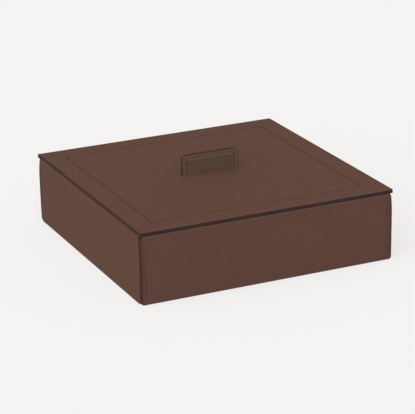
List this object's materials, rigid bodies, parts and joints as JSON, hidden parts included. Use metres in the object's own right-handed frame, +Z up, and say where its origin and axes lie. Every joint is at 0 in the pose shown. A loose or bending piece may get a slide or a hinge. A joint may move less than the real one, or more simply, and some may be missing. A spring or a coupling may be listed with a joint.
{
  "type": "square leather box",
  "caption": "Low square box clad in thick leather panels, with a flat lift-off lid and an upright stitched tab handle, for papers and keepsakes.",
  "frame": {"origin": "middle of the face that the box stands on", "axes": "+Z up, the front panel faces -Y, +X to the right seen from the front; the handle runs along X"},
  "size_m": [0.26, 0.26, 0.0908],
  "materials": {
    "leather": "smooth dark brown leather with a fine grain and a low sheen; its cut edges are painted near-black brown",
    "board": "fibreboard sealed and painted dark brown",
    "lining": "brown suede-like microfibre",
    "base": "dark brown felt"
  },
  "bodies": {
    "case": {"carcass_front": "board", "carcass_back": "board", "carcass_left": "board", "carcass_right": "board", "carcass_floor": "board", "leather_front": "leather", "leather_back": "leather", "leather_left": "leather", "leather_right": "leather", "base_cover": "base", "lining_front": "lining", "lining_back": "lining", "lining_left": "lining", "lining_right": "lining", "lining_floor": "lining"},
    "lid": {"lid_leather": "leather", "locator_board": "board", "locator_lining": "lining", "handle_front_leaf": "leather", "handle_back_leaf": "leather"}
  },
  "joints": [
    {"name": "lid_lift", "type": "slide", "parent": "case", "child": "lid", "axis": [0, 0, 1], "range_m": [0, 0.12]}
  ]
}
